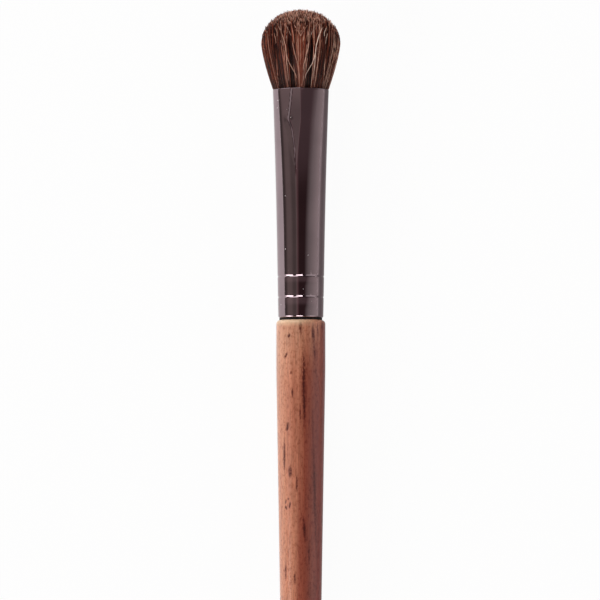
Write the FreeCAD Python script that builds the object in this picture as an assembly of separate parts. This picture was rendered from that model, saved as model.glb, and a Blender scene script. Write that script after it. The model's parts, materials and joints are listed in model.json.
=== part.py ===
"""Eyeshadow brush: a tied hair tuft glued into a pressed metal ferrule on a turned wooden handle.

Each piece is drawn upright in the brush's own turning frame: Z runs from the tail of the handle to the hair
tips, X across the wide side of the tuft and -Y out of its front. lay_down() then puts every piece where it is as
the brush lies on a table, on its tail and its tuft: the hair points along +Y, the front faces up and the table top
is Z = 0.
"""

import FreeCAD
import Part
import math
import os
from FreeCAD import Vector

# Handle, in millimetres
handle_length = 121.4  # tail to shoulder
handle_dia = 7.35  # at the straight band under the shoulder
band_length = 6.7  # the straight band
tail_dia = 3.6  # where the taper runs into the round tail
shoulder_round = 0.6
tenon_chamfer = 0.5
tenon_stop = 0.3  # how far the tenon ends short of the ferrule's pressed stretch

# Ferrule: a tube, necked at the handle, scored with two rings and pressed flat at the mouth
ferrule_length = 34.4
ferrule_wall = 0.35
base_dia = 6.75  # handle end
barrel_flare = 0.35  # how much wider the round barrel is at its other end
barrel_length = 10.0  # round stretch, from the handle end
mouth_width = 8.4
mouth_thickness = 5.72
side_arc = math.radians(70.0)  # half the angle of the small arc at each side of the pressed oval
press_steps = 10  # straight stretches that the pressed wall is drawn in
press_spacing = 0.6  # 1 makes those stretches equal, less makes them shorter towards the mouth
ring_count = 2
ring_pitch = 3.1  # between rings, and from the handle end to the first one
ring_width = 0.3
ring_depth = 0.08
end_chamfer = 0.12  # outer edge of the handle end

# Hair tuft
hair_length = 11.9  # out of the ferrule
tuft_width = 12.1
dome_height = 5.0  # widest level to the tips
flare_power = 1.25  # 1 is a straight fan, more bends the outer hair upright
root_depth = 12.0  # hair inside the ferrule
hair_clearance = 0.05  # between hair and ferrule
gather_steps = 5  # straight stretches from the tied roots to the mouth
flare_steps = 4  # the same from the mouth to the widest level
dome_steps = 9  # the same from the widest level to the tips
dome_end = math.radians(80.0)  # angle of the dome's arc at the tips, where a small flat closes it

# Binding thread, wound round the roots
thread_dia = 0.4
thread_turns = 3
thread_lift = 1.2  # first turn above the root ends

# Glue
glue_depth = 6.0  # top of the root glue under the mouth
glue_floor = 0.8  # root glue under the hair ends
root_gap = 0.16  # how much less than half the mouth's inner thickness the tied roots measure
tenon_gap = 0.125  # between tenon and ferrule, at the handle end
shoulder_gap = 0.3  # glue line that shows between ferrule and handle
seam_inset = 0.175  # how far that line lies inside the ferrule's end

# Sizes that follow from what they fit
barrel_dia = base_dia + barrel_flare
tenon_dia = base_dia - 2 * (ferrule_wall + tenon_gap)
waist_dia = mouth_thickness - 2 * (ferrule_wall + root_gap)
seam_dia = base_dia - 2 * seam_inset
tuft_thickness = mouth_thickness + tuft_width - mouth_width  # the hair flares as much to the front as to the sides

# Levels along the brush
z_base = handle_length + shoulder_gap
z_barrel = z_base + barrel_length
z_mouth = z_base + ferrule_length
z_tip = z_mouth + hair_length
z_belly = z_tip - dome_height
z_root = z_mouth - root_depth
z_glue_top = z_mouth - glue_depth
z_tenon = z_barrel - tenon_stop
z_band = handle_length - shoulder_round - band_length
ring_levels = [z_base + ring_pitch * (i + 1) for i in range(ring_count)]
brush_length = z_tip

# How the brush lies: its tail and the widest level of its tuft touch the table
tail_height = tail_dia / 2
tuft_drop = tuft_thickness / 2
tuft_reach = z_belly - tail_height
rest_tilt = math.atan2(tuft_drop, tuft_reach) - math.asin(tail_height / math.hypot(tuft_drop, tuft_reach))

UP = Vector(0, 0, 1)
CENTRE = Vector(0, 0, 0)


# Drawing helpers


def at(radius, z):
    """A point of a turned profile."""
    return Vector(radius, 0, z)


def path(points):
    """Straight edges from point to point."""
    return [Part.LineSegment(start, end).toShape() for start, end in zip(points, points[1:])]


def arc(start, middle, end):
    return Part.Arc(start, middle, end).toShape()


def quarter_round(start, corner, end):
    """The arc that rounds a square corner, from start to end."""
    centre = start + end - corner
    return arc(start, centre + (corner - centre) * math.sqrt(0.5), end)


def turned(edges):
    """The solid that a closed profile sweeps round the brush's axis."""
    return Part.Face(Part.Wire(edges)).revolve(CENTRE, UP, 360)


def slab(low, high):
    """Everything near the brush between two levels."""
    return Part.makeCylinder(brush_length, high - low, at(0, low), UP)


def oval(half_width, half_thickness, z):
    """A closed wire of four tangent arcs: two flat ones for the faces and two small ones for the sides."""
    slope = (1 - math.sin(side_arc)) / math.cos(side_arc)
    side = (half_thickness - slope * half_width) / (1 - slope)
    join_x = half_width - side + side * math.cos(side_arc)
    join_y = side * math.sin(side_arc)
    joins = [Vector(x * join_x, y * join_y, z) for x, y in ((1, -1), (1, 1), (-1, 1), (-1, -1))]
    crests = [
        Vector(half_width, 0, z),
        Vector(0, half_thickness, z),
        Vector(-half_width, 0, z),
        Vector(0, -half_thickness, z),
    ]
    return Part.Wire([arc(joins[i], crests[i], joins[(i + 1) % 4]) for i in range(4)])


# Ferrule walls


def cone_radius(z):
    """Outer radius of the unpressed tube at a level."""
    share = (z - z_base) / barrel_length
    return (base_dia + (barrel_dia - base_dia) * share) / 2


def pressed_half_axes(z):
    """Outer half width and half thickness at a level: the press bites more and more towards the mouth."""
    share = max(0.0, (z - z_barrel) / (z_mouth - z_barrel))
    full = cone_radius(z_mouth)
    return [cone_radius(z) + (mouth / 2 - full) * share**2 for mouth in (mouth_width, mouth_thickness)]


def pressed_solid(inset):
    """The pressed stretch of the ferrule as a full solid, inset from its outside."""
    wires = []
    for i in range(press_steps + 1):
        z = z_barrel + (z_mouth - z_barrel) * (i / press_steps) ** press_spacing
        half_width, half_thickness = pressed_half_axes(z)
        wires.append(oval(half_width - inset, half_thickness - inset, z))
    return Part.makeLoft(wires, True, True)


def barrel_profile(inset, middle):
    """The solid that the barrel's wall turns, inset from its outside, with the given points on its way up."""
    return turned(path([
        at(0, z_base),
        at(cone_radius(z_base) - inset, z_base),
        *middle,
        at(cone_radius(z_barrel) - inset, z_barrel),
        at(0, z_barrel),
        at(0, z_base),
    ]))


def ring_points():
    """Points of the scored rings on the barrel's outside, from the handle end up."""
    points = []
    for ring in ring_levels:
        for rise, depth in ((-ring_width / 2, 0), (0, ring_depth), (ring_width / 2, 0)):
            points.append(at(cone_radius(ring + rise) - depth, ring + rise))
    return points


# Pieces


def make_ferrule():
    """Round barrel with its scored rings, then the stretch that is pressed to an oval mouth."""
    base = base_dia / 2
    chamfer = turned(path([
        at(base - end_chamfer, z_base),
        at(base + end_chamfer, z_base),
        at(base + end_chamfer, z_base + 2 * end_chamfer),
        at(base - end_chamfer, z_base),
    ]))
    barrel = barrel_profile(0, ring_points()).cut(chamfer).cut(barrel_profile(ferrule_wall, []))
    pressed = pressed_solid(0).cut(pressed_solid(ferrule_wall))
    return barrel.fuse(pressed).removeSplitter()


def make_handle():
    """Turned handle: round tail, long taper, straight band, rounded shoulder and tenon."""
    band = handle_dia / 2
    tail = tail_dia / 2
    tenon = tenon_dia / 2
    tail_end = at(tail, tail)
    shoulder = at(band - shoulder_round, handle_length)
    edges = [
        quarter_round(at(0, 0), at(tail, 0), tail_end),
        *path([tail_end, at(band, z_band), at(band, z_band + band_length)]),
        quarter_round(at(band, z_band + band_length), at(band, handle_length), shoulder),
        *path([
            shoulder,
            at(tenon, handle_length),
            at(tenon, z_tenon - tenon_chamfer),
            at(tenon - tenon_chamfer, z_tenon),
            at(0, z_tenon),
            at(0, 0),
        ]),
    ]
    return turned(edges)


def make_tenon_glue():
    """Glue between tenon and barrel, with the dark line that shows between ferrule and shoulder."""
    sleeve = barrel_profile(ferrule_wall, []).common(slab(z_base, z_tenon - tenon_chamfer))
    seam = Part.makeCylinder(seam_dia / 2, shoulder_gap, at(0, handle_length), UP)
    tenon = Part.makeCylinder(tenon_dia / 2, z_tenon - handle_length, at(0, handle_length), UP)
    return sleeve.fuse(seam).cut(tenon).removeSplitter()


def make_root_glue():
    """Cup of glue that fills the ferrule round the tied roots and under their ends."""
    cup = pressed_solid(ferrule_wall).common(slab(z_root - glue_floor, z_glue_top))
    bundle = Part.makeCylinder(waist_dia / 2, root_depth, at(0, z_root), UP)
    wound = Part.makeCylinder(
        waist_dia / 2 + thread_dia, thread_turns * thread_dia, at(0, z_root + thread_lift), UP
    )
    return cup.cut(bundle).cut(wound)


def make_thread():
    """The thread that ties the roots: its close turns as one collar with a ridge for each turn."""
    inner = waist_dia / 2
    middle = inner + thread_dia / 2
    foot = z_root + thread_lift
    points = [at(inner, foot), at(middle, foot)]
    for i in range(thread_turns):
        points.append(at(inner + thread_dia, foot + thread_dia * (i + 0.5)))
        points.append(at(middle, foot + thread_dia * (i + 1)))
    points += [at(inner, foot + thread_dia * thread_turns), at(inner, foot)]
    return turned(path(points))


def tuft_half_axes(z):
    """Half width and half thickness of the hair at a level below its widest one."""
    waist = waist_dia / 2
    inset = ferrule_wall + hair_clearance
    mouth = (mouth_width / 2 - inset, mouth_thickness / 2 - inset)
    if z <= z_mouth:
        share = max(0.0, (z - z_glue_top) / (z_mouth - z_glue_top))
        ease = share * share * (3 - 2 * share)
        return [waist + (wide - waist) * ease for wide in mouth]
    ease = 1 - (1 - (z - z_mouth) / (z_belly - z_mouth)) ** flare_power
    return [narrow + (wide / 2 - narrow) * ease for narrow, wide in zip(mouth, (tuft_width, tuft_thickness))]


def make_tuft():
    """Hair from the tied roots through the oval mouth to the widest level, with its trimmed dome on top."""
    levels = [z_root]
    levels += [z_glue_top + (z_mouth - z_glue_top) * i / gather_steps for i in range(gather_steps)]
    levels += [z_mouth + (z_belly - z_mouth) * i / flare_steps for i in range(flare_steps)]
    sections = [oval(*tuft_half_axes(z), z) for z in levels]
    for i in range(dome_steps + 1):
        angle = dome_end * i / dome_steps
        z = z_belly + dome_height * math.sin(angle) / math.sin(dome_end)
        sections.append(oval(tuft_width / 2 * math.cos(angle), tuft_thickness / 2 * math.cos(angle), z))
    return Part.makeLoft(sections, True, True)


def lay_down(shape):
    """From the turning frame to the table: tail and tuft touch it, with the middle of the length over the origin."""
    shape = shape.copy()
    shape.rotate(at(0, tail_height), Vector(1, 0, 0), math.degrees(rest_tilt) - 90)
    tail_y = tail_height - (tail_height + (brush_length - tail_height) * math.cos(rest_tilt)) / 2
    shape.translate(Vector(0, tail_y, 0))
    return shape


def main():
    pieces = {
        "handle": make_handle(),
        "tenon_glue": make_tenon_glue(),
        "ferrule": make_ferrule(),
        "root_glue": make_root_glue(),
        "tie_thread": make_thread(),
        "hair_tuft": make_tuft(),
    }
    os.makedirs("parts", exist_ok=True)
    for name, shape in pieces.items():
        placed = lay_down(shape)
        placed.exportStep(f"parts/{name}.step")
        print(f"{name}: {len(placed.Solids)} solids, valid {placed.isValid()}, {placed.Volume:.1f} mm3")


main()
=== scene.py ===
"""Looks of an eyeshadow brush: turned handle, pressed ferrule and a tuft of strands over the fixed solids.

Each new piece is modelled upright in the brush's own turning frame (Z from the tail of the handle to the hair
tips, X across the tuft, -Y out of its front) and then laid down where the solids lie.
"""

import json
import math
from functools import partial

import bpy
import numpy as np
from bpy.props import FloatProperty, FloatVectorProperty, IntProperty, PointerProperty
from mathutils import Matrix, Vector


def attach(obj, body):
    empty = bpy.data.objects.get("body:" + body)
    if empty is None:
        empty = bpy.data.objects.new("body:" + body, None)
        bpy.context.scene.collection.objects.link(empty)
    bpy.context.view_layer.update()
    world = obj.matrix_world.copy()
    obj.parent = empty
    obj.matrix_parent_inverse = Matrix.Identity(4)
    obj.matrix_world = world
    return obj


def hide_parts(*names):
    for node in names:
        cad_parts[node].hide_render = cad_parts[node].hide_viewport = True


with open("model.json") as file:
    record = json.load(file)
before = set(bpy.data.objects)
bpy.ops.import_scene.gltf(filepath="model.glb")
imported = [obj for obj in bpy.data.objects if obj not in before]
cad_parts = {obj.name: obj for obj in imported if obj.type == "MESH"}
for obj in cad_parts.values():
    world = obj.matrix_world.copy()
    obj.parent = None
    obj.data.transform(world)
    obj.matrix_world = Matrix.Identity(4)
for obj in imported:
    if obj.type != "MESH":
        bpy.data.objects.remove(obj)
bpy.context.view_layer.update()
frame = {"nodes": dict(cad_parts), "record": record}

bl_info = {
    "name": "Eyeshadow Brush",
    "version": (1, 0, 0),
    "blender": (4, 5, 0),
    "location": "View3D > Sidebar > Brush",
    "description": "Models and finishes an eyeshadow brush over its solids",
    "category": "Object",
}

MM = 0.001

# Where the brush lies: the mount gives the middle of the handle's band and the way to the tail
BAND = frame["record"]["mounts"][0]
BAND_RADIUS = BAND["dims"]["r_mm"] * MM
BAND_LENGTH = BAND["dims"]["length_mm"] * MM
BAND_PLACE = Vector(BAND["pos_m"])
AXIS = -Vector(BAND["axis"]).normalized()
REST_TILT = math.atan2(AXIS.z, AXIS.y)


def linear(code):
    """The linear colour of an sRGB hex code."""
    parts = [int(code[i:i + 2], 16) / 255 for i in (1, 3, 5)]
    return [c / 12.92 if c <= 0.04045 else ((c + 0.055) / 1.055) ** 2.4 for c in parts]


# Settings


def length(name, value, description):
    """A length setting whose default is given in millimetres."""
    return FloatProperty(
        name=name, description=description, default=value * MM, min=0.0, precision=5, unit="LENGTH"
    )


def number(name, value, least, description):
    """A setting for a whole number."""
    return IntProperty(name=name, description=description, default=value, min=least)


def power(name, value, description):
    """A setting for a lamp's power in watts."""
    return FloatProperty(name=name, description=description, default=value, min=0.0, unit="POWER")


def colour(name, code, description):
    """A colour setting whose default is given as an sRGB hex code."""
    return FloatVectorProperty(
        name=name, description=description, default=linear(code), size=3, min=0.0, max=1.0, subtype="COLOR"
    )


class HandleSettings(bpy.types.PropertyGroup):
    shoulder: length("Shoulder level", 121.4, "From the tail to the shoulder")
    shoulder_round: length("Shoulder round", 0.6, "Radius of the shoulder's edge")
    tail_radius: length("Tail radius", 1.8, "Radius of the round tail")
    tenon_radius: length("Tenon radius", 2.9, "Radius of the tenon inside the ferrule")
    tenon_end: length("Tenon end", 131.4, "Level of the tenon's end")
    tenon_chamfer: length("Tenon chamfer", 0.5, "Chamfer at the tenon's end")
    segments: number("Segments", 96, 24, "Edges round the handle")
    pale: colour("Pale grain", "#ce9678", "Colour of the pale early wood")
    tawny: colour("Tawny grain", "#c58163", "Colour of the middle wood")
    ripe: colour("Ripe grain", "#9e513b", "Colour of the darker late wood")
    stripe: colour("Stripe", "#863d33", "Colour of the dark growth stripes")
    stain: colour("Stain", "#5c160f", "Colour of the stain round a vessel")
    # The shoulder's colour is a painted highlight where its rounded edge catches the light
    shoulder_highlight: colour("End grain", "#f6ddb6", "Colour of the end grain at the shoulder")
    vessel: colour("Vessel", "#2c0303", "Colour of the open vessels under the lacquer")


class FerruleSettings(bpy.types.PropertyGroup):
    base: length("Handle end", 121.7, "Level of the handle end")
    barrel: length("Barrel end", 131.7, "Level where the round barrel ends")
    mouth: length("Mouth", 156.1, "Level of the mouth")
    base_radius: length("Base radius", 3.375, "Outer radius at the handle end")
    barrel_radius: length("Barrel radius", 3.55, "Outer radius where the pressed stretch starts")
    mouth_width: length("Mouth half width", 4.2, "Half width of the pressed mouth")
    mouth_depth: length("Mouth half thickness", 2.86, "Half thickness of the pressed mouth")
    wall: length("Wall", 0.35, "Thickness of the metal")
    edge: length("Edge round", 0.12, "Radius of the mouth's edges")
    rim_sag: length("Rim sag", 0.16, "How much lower the mouth's rim lies at its sides")
    rim_run: length("Rim run", 2.0, "Length over which the sag fades")
    rolled_edge: length("Rolled edge", 0.3, "Radius of the edge at the handle end")
    ring_pitch: length("Ring pitch", 3.1, "Between the scored rings, and from the handle end to the first")
    ring_width: length("Ring width", 0.34, "Width of a scored ring")
    ring_depth: length("Ring depth", 0.08, "Depth of a scored ring")
    jaw_point: length("Jaw point", 142.7, "Level where the jaw's flat starts")
    jaw_full: length("Jaw shoulder", 151.3, "Level from which the flat has its full width")
    jaw_place: length("Jaw place", 0.75, "How far left of the middle the flat starts")
    jaw_left: length("Jaw left edge", 2.6, "How far left of the middle the flat reaches")
    fold_height: length("Fold height", 0.3, "How far the fold in the flat stands out")
    knock_level: length("Knock level", 151.0, "Level of the small knock on the flat")
    knock_place: length("Knock place", 1.45, "How far left of the middle the knock lies")
    knock_size: length("Knock size", 0.35, "Radius of the knock")
    knock_depth: length("Knock depth", 0.06, "Depth of the knock")
    segments: number("Segments", 288, 48, "Edges round the ferrule")
    metal: colour("Metal", "#9f8d92", "Reflection of the dark anodised metal")


class HairSettings(bpy.types.PropertyGroup):
    root: length("Root level", 144.1, "Level of the tied root ends")
    waist: length("Waist radius", 2.35, "Radius of the tied roots")
    gather: length("Gather level", 150.1, "Level where the hair starts to spread")
    mouth_width: length("Half width at the mouth", 3.72, "Half width of the hair in the mouth")
    mouth_depth: length("Half thickness at the mouth", 2.36, "Half thickness of the hair in the mouth")
    spill: length("Spill", 0.4, "How far the outer hair leans over the rim")
    belly: length("Belly level", 163.0, "Level of the widest part")
    tip: length("Tip level", 168.0, "Level of the highest tips")
    width: length("Half width", 5.85, "Half width at the widest level")
    depth: length("Half thickness", 4.58, "Half thickness at the widest level")
    thickness: length("Strand", 0.13, "Thickness of a strand, a few hairs that cling together")
    core_count: number("Inner strands", 2200, 100, "Strands inside the tuft")
    coat_count: number("Outer strands", 3200, 100, "Strands on the tuft's outside")
    seed: number("Seed", 11, 0, "Start of the chance values")
    dark: colour("Dark hair", "#1e0f0c", "Colour of the darkest strands")
    brown: colour("Brown hair", "#4e271f", "Colour of the middle strands")
    red: colour("Red hair", "#934831", "Colour of the reddish strands")
    tan: colour("Tan hair", "#dfab94", "Colour of the light tips")
    pale: colour("Pale hair", "#ecd3c2", "Colour of the few pale strands")


class StageSettings(bpy.types.PropertyGroup):
    distance: length("Camera distance", 708.0, "From the camera to the brush")
    foot: length("Camera foot", 95.0, "Level on the brush that the camera stands over")
    aim: length("Camera aim", 124.4, "Level on the brush that the camera looks at")
    frame_height: length("Frame height", 89.8, "Height of the picture at the brush")
    offset: length("Camera offset", 0.12, "How far the picture's middle lies left of the brush")
    key: power("Key light", 6.5, "Power of the left lamp")
    top: power("Top light", 5.0, "Power of the lamp beyond the hair")
    fill: power("Fill light", 2.6, "Power of the right lamp")
    glint: power("Glint", 5.0, "Power of the front glint lamp, which the other glint lamps follow")
    floor: colour("Floor", "#f6f5f4", "Colour of the floor")


class BrushSettings(bpy.types.PropertyGroup):
    handle: PointerProperty(name="Handle", description="Turned wooden handle", type=HandleSettings)
    ferrule: PointerProperty(name="Ferrule", description="Pressed metal ferrule", type=FerruleSettings)
    hair: PointerProperty(name="Hair", description="Tuft of strands", type=HairSettings)
    stage: PointerProperty(name="Stage", description="Floor, light and camera", type=StageSettings)


# Placing and modelling helpers

# Radius of a ring that is merged to a point
POLE = 0.01 * MM


def laid():
    """From the turning frame to the table."""
    turn = Matrix(((1, 0, 0), (0, AXIS.z, AXIS.y), (0, -AXIS.y, AXIS.z))).to_4x4()
    handle = bpy.context.scene.brush.handle
    middle = handle.shoulder - handle.shoulder_round - BAND_LENGTH / 2
    return Matrix.Translation(BAND_PLACE) @ turn @ Matrix.Translation((0, 0, -middle))


def ring_tower(name, stations, segments, closed):
    """A ring drawn up through stations (level, radius). Its ends become points, or are bridged if closed."""
    bpy.ops.object.select_all(action="DESELECT")
    level, radius = stations[0]
    bpy.ops.mesh.primitive_circle_add(vertices=segments, radius=radius, location=(0, 0, level))
    made = bpy.context.object
    made.name = made.data.name = name
    bpy.ops.object.transform_apply(location=True, rotation=True, scale=True)
    bpy.ops.object.mode_set(mode="EDIT")
    bpy.ops.mesh.select_all(action="SELECT")
    for next_level, next_radius in stations[1:]:
        bpy.ops.mesh.extrude_region_move(TRANSFORM_OT_translate={"value": (0, 0, next_level - level)})
        grow = next_radius / radius
        bpy.ops.transform.resize(value=(grow, grow, 1), center_override=(0, 0, next_level))
        level, radius = next_level, next_radius
    if not closed:
        bpy.ops.mesh.merge(type="CENTER")
    bpy.ops.mesh.select_all(action="DESELECT")
    bpy.ops.mesh.select_non_manifold(extend=False)
    if closed:
        bpy.ops.mesh.bridge_edge_loops()
    else:
        bpy.ops.mesh.merge(type="CENTER")
    bpy.ops.mesh.select_all(action="SELECT")
    bpy.ops.mesh.normals_make_consistent(inside=False)
    bpy.ops.object.mode_set(mode="OBJECT")
    return made


def line(start, end, steps):
    """Stations along a straight stretch, both ends included."""
    return [tuple(a + (b - a) * i / steps for a, b in zip(start, end)) for i in range(steps + 1)]


def arc(level, radius, size, start, end, steps):
    """Stations along a rounded edge: the arc of a circle at (level, radius), with angles from outwards."""
    angles = [math.radians(start + (end - start) * i / steps) for i in range(steps + 1)]
    return [(level + size * math.sin(a), radius + size * math.cos(a)) for a in angles]


def finish_piece(piece, node, material):
    """Lays the piece on the table, gives it its finish and lets it stand for its solid."""
    piece.data.transform(laid())
    piece.data.update()
    piece.data.materials.clear()
    piece.data.materials.append(material)
    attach(piece, "root")
    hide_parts(node)


# Material helpers

# A mix node for colours: its two colour inputs, and its settings to blend or to multiply
A, B = 6, 7
BLEND = {"data_type": "RGBA"}
MULTIPLY = {"data_type": "RGBA", "blend_type": "MULTIPLY"}


def new_material(name):
    """An empty material, and the helper that adds its nodes."""
    made = bpy.data.materials.new(name)
    made.use_nodes = True
    made.node_tree.nodes.clear()
    return made, partial(add_node, made.node_tree)


def add_node(tree, kind, inputs=None, stops=(), span=(), **settings):
    """A shader node with its settings. An input is a value, or the socket or node that feeds it. A ramp has
    stops (place, linear colour), and a range has a span (from low, from high, to low, to high)."""
    made = tree.nodes.new("ShaderNode" + kind)
    for key, value in settings.items():
        setattr(made, key, value)
    for index, (place, tint) in enumerate(stops):
        elements = made.color_ramp.elements
        element = elements[index] if index < 2 else elements.new(place)
        element.position = place
        element.color = (*tint, 1)
    for socket, value in {**(inputs or {}), **dict(enumerate(span, 1))}.items():
        if isinstance(value, bpy.types.Node):
            value = next(output for output in value.outputs if output.enabled)
        if isinstance(value, bpy.types.NodeSocket):
            tree.links.new(value, made.inputs[socket])
        else:
            made.inputs[socket].default_value = value
    return made


def brush_millimetres(add):
    """Object coordinates turned to the brush, in mm: X across, Y along from mid band, Z to the front."""
    place = add("TexCoord")
    return add(
        "Mapping",
        {"Vector": place.outputs["Object"], "Location": BAND_PLACE, "Rotation": (REST_TILT, 0, 0),
         "Scale": (MM, MM, MM)},
        vector_type="TEXTURE",
    )


# Materials

# The map of a strand: shades side by side across, and millimetres from one end to the other
HAIR_SHADES = 64
HAIR_MAP = 30.0

# Vessels and stripes that stand out on the front, as (across, along from the band's middle, half width, half
# length, lean in degrees, strength), lengths in mm
FRONT_MARKS = [
    (0.47, -6.1, 0.3, 5.2, 0.6, 0.62), (0.45, -5.0, 0.16, 3.4, 0.4, 0.95), (0.5, -8.2, 0.15, 2.8, 1.5, 1.0),
    (-0.09, -10.1, 0.14, 1.1, 0.0, 0.62), (-0.03, 2.6, 0.2, 1.0, 0.0, 0.62), (1.85, 1.7, 0.2, 1.2, 3.0, 0.66),
    (2.02, -0.9, 0.18, 1.2, 4.0, 0.55), (2.52, 2.2, 0.14, 1.4, 0.0, 0.45), (3.2, 3.0, 0.14, 0.8, 0.0, 0.5),
    (-1.76, 1.5, 0.17, 0.26, -20.0, 0.8), (-2.2, -1.4, 0.14, 0.4, -25.0, 0.75),
    (-1.5, -4.0, 0.12, 0.22, 0.0, 0.75), (-1.28, -7.0, 0.11, 0.6, 0.0, 0.75),
    (-1.98, -12.0, 0.17, 0.5, -8.0, 1.0), (-2.45, -16.2, 0.12, 1.9, 0.0, 0.85),
    (-1.6, -18.75, 0.2, 0.62, 0.0, 1.0), (-0.6, -20.6, 0.13, 1.0, 0.0, 0.75),
    (-1.64, -23.7, 0.1, 0.36, -10.0, 1.0), (-2.19, -24.1, 0.12, 0.28, 25.0, 0.9),
    (-2.23, -23.2, 0.08, 0.3, -10.0, 0.7), (-1.87, -22.8, 0.14, 0.14, 0.0, 0.7),
    (0.5, -27.2, 0.18, 1.5, 3.0, 0.8), (1.2, -31.0, 0.17, 1.7, 0.0, 0.55), (1.8, -12.0, 0.13, 3.0, 0.0, 0.4),
    (2.05, -21.5, 0.2, 7.6, 1.6, 0.6), (-2.25, -33.5, 0.13, 1.2, 0.0, 0.6),
    (-0.9, -34.6, 0.14, 0.7, 0.0, 0.75),
]
# A mark fades out beyond the part that shows: how many times as wide and as long it is with its fading, and a
# depth in mm that takes in the whole front
FADE_WIDTH, FADE_LENGTH, MARK_DEPTH = 1.9, 1.8, 1e6


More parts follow.
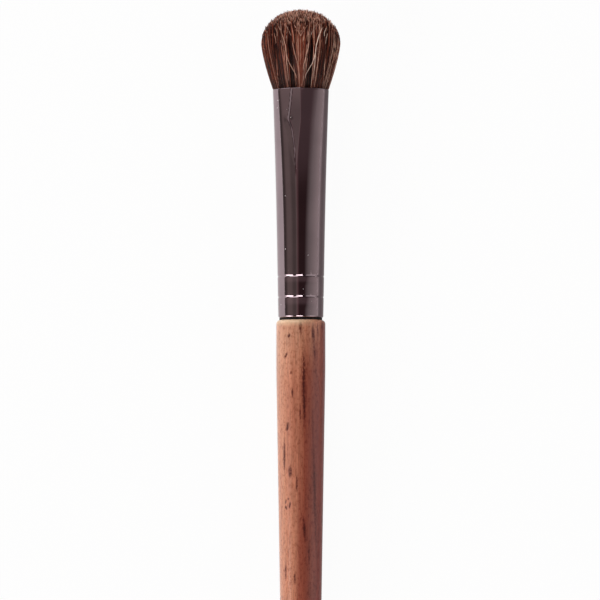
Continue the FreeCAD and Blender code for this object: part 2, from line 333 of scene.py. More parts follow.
def lacquered_wood(settings):
    """Lacquered tropical hardwood, turned and sprayed: straight grain in salmon and tan, dark open vessels
    drawn out along it, and a satin coat that veils the far side with a soft reflection."""
    material, add = new_material("lacquered_hardwood")
    place = brush_millimetres(add)
    x, y, z = add("SeparateXYZ", {"Vector": place}).outputs
    # Growth layers about 2 mm wide, drawn out some 40 mm along the handle
    layers = add("Mapping", {"Vector": place, "Scale": (0.5, 0.02, 0.5)})
    broad = add(
        "TexNoise", {"Vector": layers, "Scale": 1.0, "Detail": 1.0, "Roughness": 0.4, "Distortion": 0.3}
    )
    ripeness_and_shade = add("MapRange", {"Value": broad}, span=(0.25, 0.75, 0.36, 0.64))
    # The wood darkens to the right, away from the lamp on the left, partly its own riper tone and partly
    # painted shade; it also darkens towards the tail and pales towards the shoulder
    for way, span in (
        (x, (-2.2, 2.6, -0.176, 0.208)), (y, (-40.0, 4.0, 0.11, -0.06)), (y, (-5.0, 3.0, 0.0, -0.12))
    ):
        more = add("MapRange", {"Value": way}, span=span)
        ripeness_and_shade = add("Math", {0: ripeness_and_shade, 1: more}, operation="ADD")
    wood = add(
        "ValToRGB", {"Fac": ripeness_and_shade},
        [(0.25, settings.pale), (0.43, settings.tawny), (0.55, settings.ripe), (0.72, settings.stripe)],
    )
    # Fibres 0.15 mm wide and 3 mm long
    fibres = add("Mapping", {"Vector": place, "Scale": (6.5, 0.33, 6.5)})
    fine = add("TexNoise", {"Vector": fibres, "Scale": 1.0, "Detail": 2.0, "Roughness": 0.6})
    fleck = add("MapRange", {"Value": fine}, span=(0.3, 0.7, 0.78, 1.18))
    # Cut ends of rays and sanded fibres, grains 0.35 mm across, the dark ones redder
    sanded = add("Mapping", {"Vector": place, "Scale": (3.0, 1.7, 3.0)})
    grit = add("TexNoise", {"Vector": sanded, "Scale": 1.0, "Detail": 2.0, "Roughness": 0.7})
    gritty = add(
        "ValToRGB", {"Fac": grit},
        [(0.3, (0.66, 0.54, 0.5)), (0.5, (0.97, 0.95, 0.95)), (0.7, (1.0, 1.0, 1.0))],
    )
    for pattern in (fleck, gritty):
        wood = add("Mix", {"Factor": 1.0, A: wood, B: pattern}, **MULTIPLY)
    # Dark stripes about 0.5 mm wide
    bands = add("Mapping", {"Vector": place, "Scale": (0.9, 0.012, 0.9), "Location": (3.1, 0, 1.7)})
    stripe = add(
        "TexNoise", {"Vector": bands, "Scale": 1.0, "Detail": 2.0, "Roughness": 0.5, "Distortion": 0.2}
    )
    striped = add("MapRange", {"Value": stripe}, span=(0.58, 0.74, 0.0, 0.55))
    # Small vessels 0.15 mm wide and 0.5 mm long all over, and the marks of the front
    pores = add("Mapping", {"Vector": place, "Scale": (1.6, 0.45, 1.6)})
    pore = add("TexVoronoi", {"Vector": pores, "Scale": 1.0})
    field = add("MapRange", {"Value": pore}, span=(0.1, 0.28, 0.24, 0.0))
    front = add("Math", {0: z, 1: 0.0}, operation="GREATER_THAN")
    for across, along, half_width, half_length, lean, strength in FRONT_MARKS:
        flat = add(
            "Mapping",
            {"Vector": place, "Location": (across, along, 0), "Rotation": (0, 0, math.radians(lean)),
             "Scale": (half_width * FADE_WIDTH, half_length * FADE_LENGTH, MARK_DEPTH)},
            vector_type="TEXTURE",
        )
        spot = add("TexGradient", {"Vector": flat}, gradient_type="SPHERICAL")
        strong = add("Math", {0: spot.outputs["Fac"], 1: strength}, operation="MULTIPLY")
        facing = add("Math", {0: strong, 1: front}, operation="MULTIPLY")
        field = add("Math", {0: field, 1: facing}, operation="MAXIMUM")
    # Ragged edges: the sanded grain breaks the outline of each mark
    ragged = add("TexNoise", {"Vector": sanded, "Scale": 1.4, "Detail": 3.0, "Roughness": 0.7})
    frayed = add("MapRange", {"Value": ragged}, span=(0.3, 0.7, 0.4, 1.5))
    worn = add("Math", {0: field, 1: frayed}, operation="MULTIPLY")
    stain = add("MapRange", {"Value": worn}, span=(0.1, 0.42, 0.0, 0.75))
    hollow = add("MapRange", {"Value": worn}, span=(0.4, 0.62, 0.0, 0.66))
    # Painted highlight where the shoulder rounds over towards the lamp beyond the hair, stronger on the lit
    # left side
    edge = add("MapRange", {"Value": y}, span=(2.9, 3.8, 0.0, 0.62))
    lit = add("MapRange", {"Value": x}, span=(-0.5, 2.2, 1.0, 0.15))
    painted_highlight = add("Math", {0: edge, 1: lit}, operation="MULTIPLY")
    for share, tint in (
        (striped, settings.stripe), (stain, settings.stain), (hollow, settings.vessel),
        (painted_highlight, settings.shoulder_highlight),
    ):
        wood = add("Mix", {"Factor": share, A: wood, B: (*tint, 1)}, **BLEND)
    satin = add("MapRange", {"Value": fine}, span=(0.2, 0.8, 0.38, 0.5))
    sunk = add("Math", {0: hollow, 1: -0.6}, operation="MULTIPLY")
    relief = add("Math", {0: fine, 1: 0.15, 2: sunk}, operation="MULTIPLY_ADD")
    bump = add("Bump", {"Height": relief, "Strength": 0.12, "Distance": 0.03 * MM})
    shader = add(
        "BsdfPrincipled",
        {"Base Color": wood, "Roughness": satin, "Normal": bump, "IOR": 1.5, "Specular IOR Level": 0.1,
         "Coat Weight": 1.0, "Coat Roughness": 0.25},
    )
    add("OutputMaterial", {"Surface": shader})
    return material


def anodised_aluminium(settings):
    """Drawn aluminium tube, polished and anodised to a dark grey: a mirror with a faint haze, hair-fine lines
    round the barrel from polishing and a few specks of dust."""
    material, add = new_material("anodised_aluminium")
    place = brush_millimetres(add)
    # Polishing lines 0.2 mm apart along the axis, coarser than real ones so that they show
    turned = add("Mapping", {"Vector": place, "Scale": (0.25, 5.0, 0.25)})
    lines = add("TexNoise", {"Vector": turned, "Scale": 1.0, "Detail": 3.0})
    haze = add("MapRange", {"Value": lines}, span=(0.25, 0.75, 0.06, 0.1))
    # Clouding of the coat over about 4 mm
    cloud = add("TexNoise", {"Vector": place, "Scale": 0.25, "Detail": 2.0})
    cloudy = add("MapRange", {"Value": cloud}, span=(0.3, 0.7, 0.93, 1.05))
    metal = add("Mix", {"Factor": 1.0, A: (*settings.metal, 1), B: cloudy}, **MULTIPLY)
    # Specks of dust 0.12 mm wide
    cells = add("TexVoronoi", {"Vector": place, "Scale": 0.55})
    speck = add("MapRange", {"Value": cells}, span=(0.035, 0.06, 1.0, 0.0))
    dusty = add("Mix", {"Factor": speck, A: metal, B: (*linear("#d8cfcf"), 1)}, **BLEND)
    rough = add("Math", {0: speck, 1: 0.5, 2: haze}, operation="MULTIPLY_ADD")
    # Shallow waves about 3 mm long in the wall
    wave = add("TexNoise", {"Vector": place, "Scale": 0.35, "Detail": 1.0})
    bump = add("Bump", {"Height": wave, "Strength": 0.2, "Distance": 0.02 * MM})
    shader = add("BsdfPrincipled", {"Base Color": dusty, "Metallic": 1.0, "Roughness": rough, "Normal": bump})
    add("OutputMaterial", {"Surface": shader})
    return material


def brown_hair(settings):
    """Natural brown hair, washed and combed: each strand has its own shade from near black over red brown to
    tan, painted shade near the root and painted shadow just below a blunt tip that is lighter, partly a painted
    highlight, with a soft sheen along it."""
    material, add = new_material("brown_hair")
    own = add("UVMap", uv_map="strand")
    across, along, _ = add("SeparateXYZ", {"Vector": own}).outputs
    shade = add(
        "ValToRGB", {"Fac": across},
        [(0.0, settings.dark), (0.35, settings.brown), (0.62, settings.red), (0.84, settings.tan),
         (1.0, settings.pale)],
    )
    # Along a strand: painted shade near the root, deep in the tuft and the mouth, and painted shadow from 1.3
    # to
    # 0.2 mm below the tip, where the strands before it cast their shadow
    dim = add(
        "ValToRGB", {"Fac": along},
        [(0.6, (0.6, 0.6, 0.6)), (0.82, (1, 1, 1)), (1 - 1.3 / HAIR_MAP, (1, 1, 1)),
         (1 - 0.5 / HAIR_MAP, (0.34, 0.28, 0.27)), (1 - 0.2 / HAIR_MAP, (1, 1, 1))],
    )
    dimmed = add("Mix", {"Factor": 1.0, A: shade, B: dim}, **MULTIPLY)
    # Tips, some lighter than others: partly the hair's own lighter ends, partly a painted highlight
    counted = add("Math", {0: across, 1: HAIR_SHADES}, operation="MULTIPLY")
    column = add("Math", {0: counted}, operation="FLOOR")
    chance = add("TexWhiteNoise", {"W": column}, noise_dimensions="1D")
    few = add("MapRange", {"Value": chance}, span=(0.25, 0.6, 0.0, 1.0))
    tip = add("MapRange", {"Value": along}, span=(1 - 0.45 / HAIR_MAP, 1 - 0.15 / HAIR_MAP, 0.0, 1.0))
    light_tip_and_highlight = add("Math", {0: tip, 1: few}, operation="MULTIPLY")
    tipped = add("Mix", {"Factor": light_tip_and_highlight, A: dimmed, B: (*settings.tan, 1)}, **BLEND)
    # Scales of the hair, drawn some 0.5 mm long so that they show
    flaked = add("Mapping", {"Vector": own, "Scale": (HAIR_SHADES, HAIR_MAP * 2, 1.0)})
    scales = add("TexNoise", {"Vector": flaked, "Scale": 1.0, "Detail": 2.0})
    uneven = add("MapRange", {"Value": scales}, span=(0.25, 0.75, 0.7, 1.25))
    tinted = add("Mix", {"Factor": 1.0, A: tipped, B: uneven}, **MULTIPLY)
    gloss = add("MapRange", {"Value": scales}, span=(0.2, 0.8, 0.34, 0.5))
    shader = add(
        "BsdfPrincipled", {"Base Color": tinted, "Roughness": gloss, "IOR": 1.55, "Specular IOR Level": 0.12}
    )
    add("OutputMaterial", {"Surface": shader})
    return material


def dark_glue_and_gap_shade():
    """Cured black adhesive: matt and slightly lumpy where it was wiped off at the seam. Where it shows in the
    gap between the ferrule and the shoulder, its near black stands partly for the gap's shadow: painted shade.
    """
    material, add = new_material("black_adhesive_and_gap_shade")
    lumps = add("TexNoise", {"Vector": brush_millimetres(add), "Scale": 1.2, "Detail": 3.0})
    shade = add("ValToRGB", {"Fac": lumps}, [(0.3, linear("#0c0908")), (0.7, linear("#1d1613"))])
    matt = add("MapRange", {"Value": lumps}, span=(0.3, 0.7, 0.5, 0.75))
    bump = add("Bump", {"Height": lumps, "Strength": 0.3, "Distance": 0.05 * MM})
    shader = add(
        "BsdfPrincipled", {"Base Color": shade, "Roughness": matt, "Normal": bump, "Specular IOR Level": 0.2}
    )
    add("OutputMaterial", {"Surface": shader})
    return material


def clear_glue():
    """Cured epoxy: amber and glossy, with cloudy swirls where it soaked into the roots."""
    material, add = new_material("amber_epoxy")
    place = brush_millimetres(add)
    swirl = add("TexNoise", {"Vector": place, "Scale": 0.6, "Detail": 3.0, "Distortion": 0.8})
    shade = add("ValToRGB", {"Fac": swirl}, [(0.3, linear("#a9793a")), (0.7, linear("#d0a768"))])
    gloss = add("MapRange", {"Value": swirl}, span=(0.3, 0.7, 0.12, 0.25))
    shader = add("BsdfPrincipled", {"Base Color": shade, "Roughness": gloss, "IOR": 1.55})
    add("OutputMaterial", {"Surface": shader})
    return material


def cotton_thread():
    """Twisted cotton: matt, off-white, with the slant of its twist every 0.3 mm."""
    material, add = new_material("twisted_cotton")
    slant = add("Mapping", {"Vector": brush_millimetres(add), "Rotation": (0, 0, math.radians(35))})
    wave = add("TexWave", {"Vector": slant, "Scale": 1.05, "Distortion": 0.6, "Detail": 1.0})
    twist = wave.outputs["Fac"]
    shade = add("ValToRGB", {"Fac": twist}, [(0.2, linear("#b9ad97")), (0.8, linear("#e4dccb"))])
    bump = add("Bump", {"Height": twist, "Strength": 0.5, "Distance": 0.05 * MM})
    shader = add("BsdfPrincipled", {"Base Color": shade, "Roughness": 0.85, "Normal": bump})
    add("OutputMaterial", {"Surface": shader})
    return material


# Pieces


class BRUSH_OT_handle(bpy.types.Operator):
    """Turn the wooden handle from its tail to its tenon"""

    bl_idname = "brush.handle"
    bl_label = "Handle"

    def execute(self, context):
        s = context.scene.brush.handle
        tail = s.tail_radius
        straight = s.shoulder - s.shoulder_round
        foot = straight - BAND_LENGTH
        stations = [(0.0, POLE)]
        stations += arc(tail, 0, tail, -84, 0, 14)
        stations += line((tail, tail), (foot, BAND_RADIUS), 24)[1:]
        stations += line((foot, BAND_RADIUS), (straight, BAND_RADIUS), 4)[1:-1]
        stations += arc(straight, BAND_RADIUS - s.shoulder_round, s.shoulder_round, 0, 90, 10)
        stations += [(s.shoulder, s.tenon_radius), (s.tenon_end - s.tenon_chamfer, s.tenon_radius)]
        stations += [(s.tenon_end, s.tenon_radius - s.tenon_chamfer), (s.tenon_end, POLE)]
        handle = ring_tower("handle_turned", stations, s.segments, closed=False)
        bpy.ops.object.shade_smooth_by_angle(angle=math.radians(35))
        finish_piece(handle, "handle", lacquered_wood(s))
        return {"FINISHED"}


class BRUSH_OT_ferrule(bpy.types.Operator):
    """Draw the ferrule as a round tube, score its rings and press its mouth to an oval"""

    bl_idname = "brush.ferrule"
    bl_label = "Ferrule"

    # Profile of a scored ring, as shares of its width and depth
    SCORE = (-0.5, 0), (-0.42, 0.08), (-0.25, 0.6), (0, 1), (0.25, 0.6), (0.42, 0.08), (0.5, 0)
    # How far the arc at an oval's side turns before the flatter arc of its face takes over
    SIDE_ARC = math.radians(70)
    # The fold in the jaw's flat: levels in mm above the jaw's point, and its share of the flat from the left
    FOLD = (0.0, 4.3, 7.2, 8.5, 10.8, 13.4), (0.5, 0.5, 0.38, 0.22, 0.33, 0.42)
    # To the right of its line the fold falls within a share of the flat to a share of its height
    FOLD_RUN, FOLD_REST = 0.1, 0.05

    def tube_radius(self, level):
        """Outer radius of the unpressed tube."""
        s = self.settings
        return s.base_radius + (s.barrel_radius - s.base_radius) * (level - s.base) / (s.barrel - s.base)

    def oval_arcs(self, width, depth):
        """An oval's arcs: radius at the side, radius of the face, how far back the face's centre lies."""
        slope = (1 - math.sin(self.SIDE_ARC)) / math.cos(self.SIDE_ARC)
        side = (depth - slope * width) / (1 - slope)
        drop = (width - side) * math.tan(self.SIDE_ARC)
        return side, depth + drop, drop

    def oval_point(self, turn, width, depth):
        """The point of an oval of four arcs, at a share of its outline given as an angle from the side."""
        side, face, drop = self.oval_arcs(width, depth)
        reach = math.atan2(abs(math.sin(turn)), abs(math.cos(turn))) / (math.pi / 2)
        lengths = side * self.SIDE_ARC, face * (math.pi / 2 - self.SIDE_ARC)
        run = reach * sum(lengths)
        if run < lengths[0]:
            angle = run / side
            x, y = width - side + side * math.cos(angle), side * math.sin(angle)
        else:
            angle = self.SIDE_ARC + (run - lengths[0]) / face
            x, y = face * math.cos(angle), face * math.sin(angle) - drop
        return math.copysign(x, math.cos(turn)), math.copysign(y, math.sin(turn))

    def face_depth(self, x, width, depth):
        """How far the front of an oval of four arcs stands out at a place across it."""
        side, face, drop = self.oval_arcs(width, depth)
        if abs(x) < face * math.cos(self.SIDE_ARC):
            return math.sqrt(face**2 - x**2) - drop
        return math.sqrt(max(0.0, side**2 - (abs(x) - width + side) ** 2))

    def dent(self, x, level, width, depth):
        """How deep the crimping jaw's flat on the front lies, from its point up to the mouth."""
        s = self.settings
        share = min(1.0, (level - s.jaw_point) / (s.jaw_full - s.jaw_point))
        left = -s.jaw_place - (s.jaw_left - s.jaw_place) * share
        right = -s.jaw_place + s.jaw_place * share
        if share <= 0 or not left < x < right:
            return 0.0
        place = (x - left) / (right - left)
        at_left, at_right = (self.face_depth(edge, width, depth) for edge in (left, right))
        flat = (1 - place) * at_left + place * at_right
        fold = float(np.interp((level - s.jaw_point) / MM, *self.FOLD))
        raised = np.interp(place, (0, fold, fold + self.FOLD_RUN, 1), (0, 1, self.FOLD_REST, 0))
        swell = s.fold_height * share * float(raised)
        away = math.hypot(x + s.knock_place, level - s.knock_level) / s.knock_size
        knock = s.knock_depth * math.exp(-(away**2))
        return self.face_depth(x, width, depth) - flat - swell + knock

    def press(self, mesh):
        """Presses the tube beyond the barrel to ovals, more so nearer to the mouth, and dents its front."""
        s = self.settings
        end = self.tube_radius(s.mouth)
        for vertex in mesh.vertices:
            x, y, level = vertex.co
            if level <= s.barrel:
                continue
            full = self.tube_radius(level)
            inset = full - math.hypot(x, y)
            share = min(1.0, (level - s.barrel) / (s.mouth - s.barrel)) ** 2
            width = full + (s.mouth_width - end) * share - inset
            depth = full + (s.mouth_depth - end) * share - inset
            x, y = self.oval_point(math.atan2(y, x), width, depth)
            if y < 0 and inset < s.wall / 2:
                y += self.dent(x, level, width, depth)
            near_rim = max(0.0, 1 - (s.mouth - level) / s.rim_run)
            vertex.co = x, y, level - s.rim_sag * near_rim * (x / s.mouth_width) ** 2

    def execute(self, context):
        s = self.settings = context.scene.brush.ferrule
        radius = self.tube_radius
        stations = arc(s.base + s.rolled_edge, radius(s.base) - s.rolled_edge, s.rolled_edge, -90, 0, 8)
        for i in (1, 2):
            for rise, depth in self.SCORE:
                level = s.base + s.ring_pitch * i + rise * s.ring_width
                stations.append((level, radius(level) - depth * s.ring_depth))
        top = s.mouth - s.edge
        stations += line((s.barrel, radius(s.barrel)), (top, radius(top)), 80)[:-1]
        stations += arc(top, radius(top) - s.edge, s.edge, 0, 90, 5)
        stations += arc(top, radius(top) - s.wall + s.edge, s.edge, 90, 180, 5)
        stations += line((top, radius(top) - s.wall), (s.barrel, radius(s.barrel) - s.wall), 20)[1:]
        stations += [(s.base, radius(s.base) - s.wall)]
        ferrule = ring_tower("ferrule_pressed", stations, s.segments, closed=True)
        self.press(ferrule.data)
        bpy.ops.object.shade_smooth_by_angle(angle=math.radians(40))
        finish_piece(ferrule, "ferrule", anodised_aluminium(s))
        return {"FINISHED"}


class BRUSH_OT_hair(bpy.types.Operator):
    """Set the tuft strand by strand, tied at the roots and trimmed to a dome"""

    bl_idname = "brush.hair"
    bl_label = "Hair"

    # Edges round a strand, and steps along a loose one
    SIDES, LOOSE_STEPS = 4, 14
    # How much the dome falls to the front and back, against its fall to the sides
    FLAT = 0.66
    # How fast the tuft spreads beyond the mouth, and how far below and above the rim a strand bends out over it
    SPREAD, BELOW_RIM, ABOVE_RIM = 1.35, 0.1 * MM, 0.08 * MM
    # Where a strand bends beyond the rim, as shares of its way from the mouth to its end
    BENDS = 0.2, 0.42, 0.64, 0.82, 0.94, 1.0
    # Thickness of a strand against the setting (from, to)
    THICK = 0.5, 1.2
    # Highest tips against the dome's outline, in mm (mean, spread)
    TRIM = -0.08, 0.18
    # Power of a strand's way to the side, and where that way ends, against the belly's level
    SIDE_POWER, SIDE_END = 0.8, 1.4
    # Spread of a strand's end to the side and of its bow, as shares of the half width, the power by which the
    # straying rises, and the freedom to stray in the middle
    STRAY, BOW, STRAY_POWER, FREE = 0.035, 0.025, 1.5, 1.12
    # Inner strands: how far they reach to the front, and how much farther to the sides; end against the dome in
    # mm (mean, spread); the two powers that spread their shades
    CORE_REACH, CORE_END, CORE_SHADE = (0.8, 0.17), (-0.05, 0.2), (1.5, 2.4)
    # Part of the outer strands that is light, and their shades (from, to)
    LIGHT_PART, LIGHT_SHADES = 0.12, (0.58, 0.82)
    # How much the shade rises from the middle to the right, because the lamp stands on the left
    SHADE_RISE = 0.13
    # Plain tips: how their chance rises with the share to the side, where it starts and its bounds, and how far
    # their map is moved, in mm, so that they get neither the painted shadow below the tip nor the light tip
    PLAIN_RISE, PLAIN_START, PLAIN_BOUNDS, PLAIN_MOVE = 1.6, -0.35, (0.1, 0.9), 1.4
    # Locks of the outside on one side of the middle: shares of the half width at the mouth (from, to) and at
    # the belly (from, to), reach (from, to), end against the dome in mm (inner edge, outer edge, spread), shade
    # (mean, spread), share of the strands
    LOCKS = [
        ((0.0, 0.135), (0.0, 0.22), (0.96, 1.0), (-1.6, 0.6, 0.2), (0.42, 0.24), 0.12),
        ((0.0, 0.1), (0.0, 0.2), (0.84, 0.92), (-0.6, 0.1, 0.25), (0.44, 0.2), 0.05),
        # This lock lies deeper, in the gap beside the middle: dark partly by its own hair and partly as painted
        # shade of the recess
        ((0.135, 0.37), (0.22, 0.35), (0.8, 0.9), (-0.4, -0.4, 0.3), (0.17, 0.12), 0.11),
        ((0.37, 0.5), (0.35, 0.48), (0.95, 1.0), (0.0, -0.2, 0.5), (0.32, 0.26), 0.12),
        ((0.5, 0.7), (0.48, 0.72), (0.91, 0.98), (-0.2, -0.4, 0.7), (0.24, 0.22), 0.18),
        ((0.7, 1.0), (0.72, 1.0), (0.93, 1.0), (-0.2, -0.1, 0.7), (0.25, 0.24), 0.42),
    ]
    # Loose pale strands on the front right, each with a twin on the left: shade, and its way as (level in mm,
    # share of the half width, reach)
    LOOSE = [
        (0.9, ((156.0, 0.41, 0.97), (157.2, 0.404, 1.0), (161.4, 0.394, 1.03), (162.3, 0.4, 1.03),
               (163.7, 0.464, 1.03), (164.9, 0.549, 1.03))),
        (0.93, ((156.0, 0.15, 0.88), (161.0, 0.19, 0.9), (163.3, 0.22, 0.97), (164.3, 0.295, 1.0),
                (165.5, 0.405, 1.0))),
        (0.9, ((156.0, 0.13, 0.9), (157.8, 0.145, 1.03), (158.9, 0.26, 1.03), (159.8, 0.35, 1.03),
               (161.4, 0.4, 1.0), (162.6, 0.43, 0.95))),
        (0.8, ((156.0, 0.02, 0.86), (163.0, 0.0, 0.9), (163.8, 0.01, 1.02), (165.2, 0.165, 1.03))),
        (0.82, ((156.0, 0.06, 0.95), (159.3, 0.078, 1.01), (160.2, 0.125, 1.02), (162.1, 0.205, 1.01),
                (163.6, 0.215, 0.96))),
        (0.74, ((156.0, 0.13, 0.9), (160.0, 0.15, 0.92), (163.4, 0.18, 1.02), (164.6, 0.213, 1.02),
                (165.75, 0.265, 1.02))),
        (0.9, ((156.0, 0.62, 0.9), (163.0, 0.6, 0.93), (164.3, 0.6, 1.0), (164.9, 0.65, 1.02))),
        (0.86, ((156.0, 0.65, 0.9), (162.0, 0.63, 0.93), (163.1, 0.64, 1.01), (164.1, 0.68, 1.02))),
        (0.74, ((156.0, 0.49, 0.97), (158.0, 0.49, 1.0), (159.5, 0.48, 1.02), (161.6, 0.5, 1.02),
                (163.0, 0.515, 1.0))),
        (0.66, ((156.0, 0.92, 0.98), (157.4, 0.92, 1.01), (159.1, 0.88, 1.02), (160.9, 0.91, 1.02),
                (162.1, 0.967, 1.02))),
        (0.78, ((156.0, 0.78, 0.98), (156.6, 0.768, 1.0), (159.3, 0.69, 1.0), (161.5, 0.68, 0.94))),
    ]

    def half_axes(self, level):
        """Half width and half thickness of the tuft at each level, up to its widest one."""
        s = self.settings
        gathered = np.clip((level - s.gather) / (self.mouth - s.gather), 0, 1)
        gathered = gathered * gathered * (3 - 2 * gathered)
        rise = np.clip((level - self.mouth) / (s.belly - self.mouth), 0, 1)
        lean = np.clip((level - self.mouth) / self.ABOVE_RIM, 0, 1)
        axes = []
        for inner, outer in ((s.mouth_width, s.width), (s.mouth_depth, s.depth)):
            inside = s.waist + (inner - s.waist) * gathered
            fan = inner + s.spill * lean + (outer - inner - s.spill) * (1 - (1 - rise) ** self.SPREAD)
            axes.append(np.where(level <= self.mouth, inside, fan))
        return axes

    def core(self, chance):
        """Strands inside the tuft: sides at mouth and belly, reach, front or back, end and shade."""
        count = self.settings.core_count
        front, farther = self.CORE_REACH
        turn = chance.uniform(0, 2 * math.pi, count)
        reach = (front + farther * np.cos(turn) ** 2) * np.sqrt(chance.uniform(0, 1, count))
        side = reach * np.cos(turn)
        end = chance.normal(*self.CORE_END, count) * MM
        return side, side, reach, np.sign(np.sin(turn)), end, chance.beta(*self.CORE_SHADE, count)

    def coat(self, chance):
        """Strands on the outside, in locks: the same on the left and right, and to front or back by chance."""
        columns = []
        for at_mouth, at_belly, reach, (inner, outer, spread), shade, share in self.LOCKS:
            count = int(self.settings.coat_count * share / 2)
            belly = np.cos(chance.uniform(math.acos(at_belly[1]), math.acos(at_belly[0]), count))
            place = (belly - at_belly[0]) / (at_belly[1] - at_belly[0])
            columns.append((
                at_mouth[0] + (at_mouth[1] - at_mouth[0]) * place,
                belly,
                chance.uniform(*reach, count),
                chance.choice((-1.0, 1.0), count),
                (inner + (outer - inner) * place + chance.normal(0, spread, count)) * MM,
                chance.normal(*shade, count),
            ))
        mouth, belly, *others = (np.concatenate(column) for column in zip(*columns))
        # A few light strands everywhere
        lighter = chance.uniform(*self.LIGHT_SHADES, len(mouth))
        others[-1] = np.where(chance.uniform(0, 1, len(mouth)) < self.LIGHT_PART, lighter, others[-1])
        doubled = (np.tile(column, 2) for column in others)
        return [np.append(mouth, -mouth), np.append(belly, -belly), *doubled]

    def front_share(self, level, side, reach):
        """How far to the front a strand lies, within the dome."""
        s = self.settings
        height = np.clip((level - s.belly) / (s.tip - s.belly), 0, 1)
        dome = np.sqrt(np.clip((1 - height**2 - side**2) / self.FLAT, 0, None))
        return np.minimum(np.sqrt(np.clip(reach**2 - side**2, 0, None)), dome * np.maximum(1, reach))

    def comb(self, chance, mouth_side, belly_side, reach, facing, end, shade):
        """The way of each strand from the tied root over the rim to its end on the dome."""
        s = self.settings
        count = len(end)
        front = np.sqrt(np.clip(reach**2 - belly_side**2, 0, None))
        rise = s.tip - s.belly
        crown = s.belly + rise * np.sqrt(np.clip(1 - belly_side**2 - self.FLAT * front**2, 0, 1))
        outline = s.belly + rise * np.sqrt(np.clip(1 - belly_side**2, 0, 1))
        end = np.minimum(crown + end, outline + chance.normal(*self.TRIM, count) * MM)
        rim = self.mouth - self.sag * mouth_side**2
        levels = [np.full(count, level) for level in (s.root, s.gather, (s.gather + self.mouth) / 2)]
        levels += [rim - self.BELOW_RIM, rim + self.ABOVE_RIM]
        levels += [self.mouth + (end - self.mouth) * part for part in self.BENDS]
        levels = np.stack(levels, 1)
        risen = np.clip((levels - self.mouth) / (s.belly - self.mouth), 0, self.SIDE_END)
        side = mouth_side[:, None] + (belly_side - mouth_side)[:, None] * risen**self.SIDE_POWER
        # Strands stray and cross, less so at the outline
        free = (self.FREE - np.abs(belly_side))[:, None]
        side += free * chance.normal(0, self.STRAY, count)[:, None] * risen**self.STRAY_POWER
        side += free * chance.normal(0, self.BOW, count)[:, None] * np.sin(math.pi * risen)
        front = self.front_share(levels, side, reach[:, None]) * facing[:, None]
        return levels, side, front, shade

    def loose(self):
        """The way of each loose strand and of its twin."""
        parts = np.linspace(0, 1, self.LOOSE_STEPS)
        ways = []
        for shade, way in self.LOOSE:
            heights, shares, reaches = np.array(way).T
            level = (heights[0] + (heights[-1] - heights[0]) * parts) * MM
            reach = np.interp(level, heights * MM, reaches)
            for twin in (-1, 1):
                side = twin * np.interp(level, heights * MM, shares)
                ways.append((level, side, self.front_share(level, side, reach), shade))
        return [np.array(column) for column in zip(*ways)]

    def build(self, name, chance, levels, side, front, shade):
        """The mesh of one piece: a blunt tube along each way, its shade and its run to the tip as a map."""
        count, rings = levels.shape
        sides = self.SIDES
        # Points: a ring round each bend, thin at the root and blunt at the tip
        wide, deep = self.half_axes(levels + self.sag * side**2)
        centre = np.stack([side * wide, -front * deep, levels], 2)
        taper = np.interp(
            np.arange(rings), [0, 3, 5, rings - 3, rings - 2, rings - 1], [0.5, 0.5, 0.9, 1.0, 0.9, 0.5]
        )
        size = self.settings.thickness / 2 * taper[None, :] * chance.uniform(*self.THICK, count)[:, None]
        corner = chance.uniform(0, 2 * math.pi, count)[:, None] + np.arange(sides) * 2 * math.pi / sides
        ring = np.stack([np.cos(corner), np.sin(corner), np.zeros_like(corner)], 2)
        points = centre[:, :, None, :] + size[:, :, None, None] * ring[:, None, :, :]
        # Faces: the walls from ring to ring and a cap at each end
        first = np.arange(count)[:, None, None] * rings * sides
        start = first + np.arange(rings - 1)[None, :, None] * sides
        here = start + np.arange(sides)[None, None, :]
        beside = start + (np.arange(sides)[None, None, :] + 1) % sides
        walls = np.stack([here, beside, beside + sides, here + sides], 3).reshape(-1, 4)
        foot = first[:, 0] + np.arange(sides)[None, ::-1]
        tip = first[:, 0] + (rings - 1) * sides + np.arange(sides)[None, :]
        mesh = bpy.data.meshes.new(name)
        mesh.from_pydata(points.reshape(-1, 3).tolist(), [], walls.tolist() + foot.tolist() + tip.tolist())
        # Map: the strand's column of shade across, its run along
        column = np.floor(np.clip(shade + self.SHADE_RISE * side[:, -2], 0.01, 0.99) * HAIR_SHADES)
        across = (column[:, None] + np.linspace(0.2, 0.8, sides + 1)[None, :]) / HAIR_SHADES
        run = 1 - (levels[:, -1:] - levels) / (HAIR_MAP * MM)
        # To the sides most strands keep their own shade up to the tip
        likely = np.clip(self.PLAIN_RISE * np.abs(side[:, -1]) + self.PLAIN_START, *self.PLAIN_BOUNDS)
        plain = chance.uniform(0, 1, count) < likely
        run = run - plain[:, None] * self.PLAIN_MOVE / HAIR_MAP
        halves = slice(0, -1), slice(1, None)
        left, right = (np.broadcast_to(across[:, None, part], here.shape) for part in halves)
        low, high = (np.broadcast_to(run[:, part, None], here.shape) for part in halves)
        walls_uv = np.stack([left, low, right, low, right, high, left, high], 3).reshape(-1, 2)
        caps_uv = [
            np.stack([across[:, :-1], np.repeat(run[:, end:end + 1], sides, 1)], 2).reshape(-1, 2)
            for end in (0, rings - 1)
        ]
        coordinates = np.concatenate([walls_uv, *caps_uv]).astype(np.float32)
        for layer in ("OFBake", "strand"):
            mesh.uv_layers.new(name=layer).uv.foreach_set("vector", coordinates.ravel())
        mesh.polygons.foreach_set("use_smooth", np.ones(len(mesh.polygons), dtype=bool))
        mesh.validate()
        made = bpy.data.objects.new(name, mesh)
        bpy.context.scene.collection.objects.link(made)
        return made

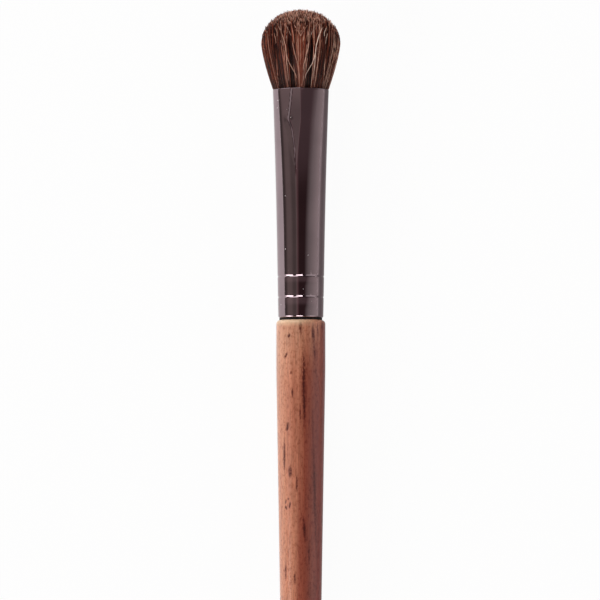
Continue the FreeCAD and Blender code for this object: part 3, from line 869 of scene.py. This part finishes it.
    def execute(self, context):
        self.settings = s = context.scene.brush.hair
        self.mouth = context.scene.brush.ferrule.mouth
        self.sag = context.scene.brush.ferrule.rim_sag
        material = brown_hair(s)
        chance = np.random.default_rng(s.seed)
        coat = self.comb(chance, *self.coat(chance))
        before = coat[2][:, -1] > 0
        for name, ways in (
            ("hair_core", self.comb(chance, *self.core(chance))),
            ("hair_front", [part[before] for part in coat]),
            ("hair_back", [part[~before] for part in coat]),
            ("hair_loose", self.loose()),
        ):
            finish_piece(self.build(name, chance, *ways), "hair_tuft", material)
        return {"FINISHED"}


class BRUSH_OT_hidden_pieces(bpy.types.Operator):
    """Finish the glue and the thread, which keep the shapes of their solids"""

    bl_idname = "brush.hidden_pieces"
    bl_label = "Glue and thread"

    def execute(self, context):
        for node, material in (
            ("tenon_glue", dark_glue_and_gap_shade()), ("root_glue", clear_glue()), ("tie_thread", cotton_thread())
        ):
            frame["nodes"][node].data.materials.clear()
            frame["nodes"][node].data.materials.append(material)
        return {"FINISHED"}


class BRUSH_OT_stage(bpy.types.Operator):
    """Set the floor, the light and the camera"""

    bl_idname = "brush.stage"
    bl_label = "Stage"

    # The floor lies a little under the brush, and the lamps look at this point of the brush
    FLOOR_SIZE, FLOOR_LEVEL = 6.0, -0.02 * MM
    LAMP_AIM = Vector((0, 0.04, 0.004))
    # Part of the floor that the camera sees as plain white
    PLAIN_WHITE = 0.96
    WHITE, SOFT, WARM, RED = (1.0, 1.0, 1.0), (1.0, 0.95, 0.92), (1.0, 0.86, 0.8), (1.0, 0.58, 0.6)
    # What stands along the brush and mirrors in it, as (angle from overhead, negative to the left, brightness,
    # tint): white paper on the left with a dark flag before it, a brown wall, a narrow red card, a dark gap
    # round the camera and a softbox on the right
    STRIPS = [
        (-180, 0.9, WHITE), (-95, 0.9, WHITE), (-86, 0.1, WARM), (-78, 0.1, WARM),
        (-66, 0.25, WARM), (-48, 0.25, WARM), (-36, 0.15, WARM), (-24, 0.15, WARM),
        (-20, 0.26, WARM), (-15, 0.2, RED), (-8, 0.05, RED), (18, 0.05, RED),
        (38, 0.3, SOFT), (85, 0.6, SOFT), (95, 0.5, SOFT), (180, 0.6, WHITE),
    ]

    def floor(self, s):
        bpy.ops.object.select_all(action="DESELECT")
        bpy.ops.mesh.primitive_plane_add(size=self.FLOOR_SIZE, location=(0, 0, self.FLOOR_LEVEL))
        floor = bpy.context.object
        floor.name = floor.data.name = "floor"
        bpy.ops.object.transform_apply(location=True, rotation=True, scale=True)
        material, add = new_material("white_paper")
        ray = add("LightPath").outputs
        mirrored = add("Math", {0: ray["Is Glossy Ray"], 1: ray["Is Transmission Ray"]}, operation="MAXIMUM")
        # Seen in the metal, the floor glows brighter on the left, painted light where the lamp stands, and
        # turns grey beside the brush on the right, a painted shadow
        place = add("TexCoord")
        x = add("SeparateXYZ", {"Vector": place.outputs["Object"]}).outputs["X"]
        spill = add("MapRange", {"Value": x}, span=(-0.01, 0.012, 0.66, 0.06))
        veil = add("Math", {0: mirrored, 1: spill}, operation="MULTIPLY")
        share = add("Math", {0: ray["Is Camera Ray"], 1: self.PLAIN_WHITE, 2: veil}, operation="MULTIPLY_ADD")
        away = add("MapRange", {"Value": x}, span=(-0.002, 0.008, 0.0, 1.0))
        near = add("MapRange", {"Value": x}, span=(0.025, 0.06, 1.0, 0.0))
        shaded = add("Math", {0: away, 1: near}, operation="MINIMUM")
        painted_shadow = add("Math", {0: mirrored, 1: shaded}, operation="MULTIPLY")
        tint = add("Mix", {"Factor": painted_shadow, A: (*s.floor, 1), B: (*linear("#aaa6a6"), 1)}, **BLEND)
        paper = add("BsdfDiffuse", {"Color": tint})
        white = add("Emission", {"Color": (*self.WHITE, 1), "Strength": 1.0})
        mixed = add("MixShader", {0: share, 1: paper, 2: white})
        add("OutputMaterial", {"Surface": mixed})
        floor.data.materials.append(material)

    def light(self, s):
        world = bpy.data.worlds.new("studio")
        bpy.context.scene.world = world
        world.use_nodes = True
        world.node_tree.nodes.clear()
        add = partial(add_node, world.node_tree)
        way = add("TexCoord")
        x, y, z = add("SeparateXYZ", {"Vector": way.outputs["Generated"]}).outputs
        angle = add("Math", {0: x, 1: z}, operation="ARCTAN2")
        # The softbox leans outwards beyond the hair
        beyond = add("MapRange", {"Value": y}, span=(0.0, 0.3, 0.0, 0.3))
        right = add("Math", {0: angle, 1: 0.0}, operation="GREATER_THAN")
        lean = add("Math", {0: beyond, 1: right}, operation="MULTIPLY")
        strip_angle = add("Math", {0: angle, 1: lean}, operation="SUBTRACT")
        turn = add("MapRange", {"Value": strip_angle}, span=(-math.pi, math.pi, 0.0, 1.0))
        strips = add(
            "ValToRGB", {"Fac": turn},
            [((place + 180) / 360, [bright * part for part in tint]) for place, bright, tint in self.STRIPS],
        )
        # A little more light from beyond the hair, which the pressed front mirrors
        head = add("MapRange", {"Value": y}, span=(0.08, 0.13, 0.0, 0.08))
        lifted = add(
            "Mix", {"Factor": head, A: strips, B: (*linear("#ffe7eb"), 1)}, data_type="RGBA", blend_type="ADD"
        )
        # The strips fade towards both ends of the brush
        along = add("Math", {0: y}, operation="ABSOLUTE")
        window = add("MapRange", {"Value": along}, span=(0.4, 0.7, 1.0, 0.4))
        glow = add("Background", {"Color": lifted, "Strength": window})
        add("OutputWorld", {"Surface": glow})
        # Soft lamps that the metal doesn't mirror, then four that only glint in its rings and edges
        for name, stand, watts, size, glints in (
            ("key", (-0.88, -0.22, 0.38), s.key, 0.3, False),
            ("top", (-0.25, 0.85, 0.45), s.top, 0.3, False),
            ("fill", (0.85, -0.2, 0.3), s.fill, 0.5, False),
            ("left_glint", (-0.85, -0.6, 0.25), s.glint * 1.5, 0.7, True),
            ("front_glint", (-0.1, -0.6, 0.75), s.glint, 0.5, True),
            ("right_glint", (0.75, -0.6, 0.35), s.glint / 4, 0.8, True),
            ("rim_glint", (-0.5, 0.7, 0.5), s.glint / 3, 0.6, True),
        ):
            lamp = bpy.data.lights.new(name, "AREA")
            lamp.size = size
            lamp.energy = watts
            made = bpy.data.objects.new(name, lamp)
            made.visible_glossy = glints
            made.visible_diffuse = not glints
            made.location = self.LAMP_AIM + Vector(stand)
            made.rotation_euler = (-Vector(stand)).to_track_quat("-Z", "Y").to_euler()
            bpy.context.scene.collection.objects.link(made)

    def camera(self, s):
        place = laid()
        front = place.to_3x3() @ Vector((0, -1, 0))
        side = Vector((-s.offset, 0, 0))
        eye = place @ Vector((0, 0, s.foot)) + front * s.distance + side
        aim = place @ Vector((0, 0, s.aim)) + side
        lens = bpy.data.cameras.new("camera")
        lens.sensor_width = 36.0
        lens.lens = lens.sensor_width * (aim - eye).length / s.frame_height
        lens.clip_start, lens.clip_end = 0.01, 50.0
        camera = bpy.data.objects.new("camera", lens)
        back = (eye - aim).normalized()
        up = (AXIS - back * AXIS.dot(back)).normalized()
        turn = Matrix((up.cross(back), up, back)).transposed()
        camera.matrix_world = Matrix.Translation(eye) @ turn.to_4x4()
        bpy.context.scene.collection.objects.link(camera)
        bpy.context.scene.camera = camera

    def execute(self, context):
        s = context.scene.brush.stage
        self.floor(s)
        self.light(s)
        self.camera(s)
        context.scene.view_settings.view_transform = "Standard"
        return {"FINISHED"}


class BRUSH_PT_panel(bpy.types.Panel):
    """Buttons and settings of the brush"""

    bl_idname = "BRUSH_PT_panel"
    bl_label = "Eyeshadow Brush"
    bl_space_type = "VIEW_3D"
    bl_region_type = "UI"
    bl_category = "Brush"

    def draw(self, context):
        for operator, group in PARTS:
            box = self.layout.box()
            box.operator(operator.bl_idname)
            if group:
                settings = getattr(context.scene.brush, group)
                for name in settings.__annotations__:
                    box.prop(settings, name)


PARTS = [
    (BRUSH_OT_stage, "stage"),
    (BRUSH_OT_handle, "handle"),
    (BRUSH_OT_ferrule, "ferrule"),
    (BRUSH_OT_hair, "hair"),
    (BRUSH_OT_hidden_pieces, None),
]
CLASSES = [
    HandleSettings,
    FerruleSettings,
    HairSettings,
    StageSettings,
    BrushSettings,
    *[operator for operator, _ in PARTS],
    BRUSH_PT_panel,
]


def register():
    for made in CLASSES:
        bpy.utils.register_class(made)
    bpy.types.Scene.brush = PointerProperty(
        name="Brush", description="Settings of the brush", type=BrushSettings
    )


def unregister():
    del bpy.types.Scene.brush
    for made in reversed(CLASSES):
        bpy.utils.unregister_class(made)


def main():
    register()
    bpy.ops.brush.stage()
    bpy.ops.brush.handle()
    bpy.ops.brush.ferrule()
    bpy.ops.brush.hair()
    bpy.ops.brush.hidden_pieces()


if __name__ == "__main__":
    main()
